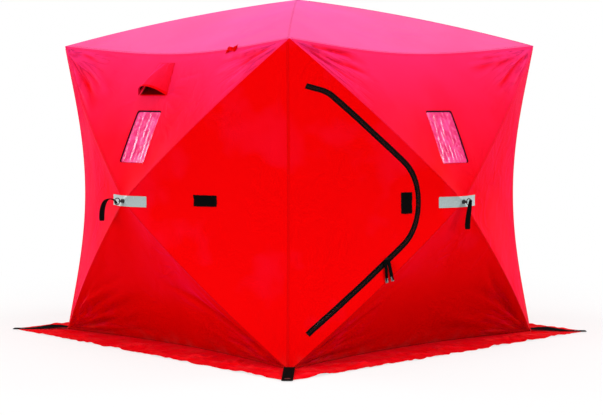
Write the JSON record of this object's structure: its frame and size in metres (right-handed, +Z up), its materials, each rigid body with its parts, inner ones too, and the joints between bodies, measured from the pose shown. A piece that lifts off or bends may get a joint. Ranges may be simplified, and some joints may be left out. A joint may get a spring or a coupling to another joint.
{
  "type": "ice fishing hut",
  "caption": "Square pop-up ice fishing hut of coated red cloth on a hub-and-pole frame, with a zipped door flap, windows, a vent hood and a ground skirt.",
  "frame": {"origin": "centre of the base, on the ground", "axes": "+Z up, the door wall faces -Y, the vent wall faces -X"},
  "size_m": [2.3496, 2.3496, 1.6963],
  "materials": {
    "wall_cloth": "red coated nylon",
    "roof_cloth": "red coated nylon",
    "skirt_cloth": "dark red coated nylon",
    "window_film": "clear vinyl",
    "pole": "black fibreglass rod",
    "hub": "black nylon",
    "ring": "black steel wire",
    "webbing": "black webbing",
    "reflector": "grey reflective tape",
    "hook_tape": "black hook-and-loop tape",
    "tab_cloth": "dark red cloth",
    "zip": "black coil zip",
    "zip_pull": "black moulded pull with grey tips",
    "eyelet": "dark steel"
  },
  "bodies": {
    "shelter": {"front_wall_upper_panel": "wall_cloth", "front_wall_lower_panel": "wall_cloth", "front_wall_right_panel": "wall_cloth", "left_wall_upper_panel": "wall_cloth", "left_wall_lower_panel": "wall_cloth", "left_wall_left_panel": "wall_cloth", "left_wall_right_panel": "wall_cloth", "back_wall_upper_panel": "wall_cloth", "back_wall_lower_panel": "wall_cloth", "back_wall_left_panel": "wall_cloth", "back_wall_right_panel": "wall_cloth", "right_wall_upper_panel": "wall_cloth", "right_wall_lower_panel": "wall_cloth", "right_wall_left_panel": "wall_cloth", "right_wall_right_panel": "wall_cloth", "door_jamb": "wall_cloth", "door_surround_upper": "wall_cloth", "door_surround_lower": "wall_cloth", "front_roof_panel": "roof_cloth", "left_roof_panel": "roof_cloth", "back_roof_panel": "roof_cloth", "right_roof_panel": "roof_cloth", "front_skirt": "skirt_cloth", "left_skirt": "skirt_cloth", "back_skirt": "skirt_cloth", "right_skirt": "skirt_cloth", "window_panes": "window_film", "wall_poles": "pole", "roof_poles": "pole", "wall_hubs": "hub", "roof_hub": "hub", "hub_rings": "ring", "corner_boots": "hub", "pull_straps": "webbing", "reflective_patches": "reflector", "wall_patch": "hook_tape", "roof_edge_tab": "tab_cloth", "vent_hood": "wall_cloth", "zip_wall_side": "zip", "corner_straps": "webbing", "strap_eyelets": "eyelet"},
    "door": {"door_flap": "wall_cloth", "zip_door_side": "zip", "zip_pulls": "zip_pull", "door_tab": "hook_tape"}
  },
  "joints": [
    {"name": "door_fold", "type": "hinge", "parent": "shelter", "child": "door", "pos_m": [-0.75083, -0.86608, 0.7], "axis": [0, 0, -1], "range_deg": [0, 120]}
  ]
}
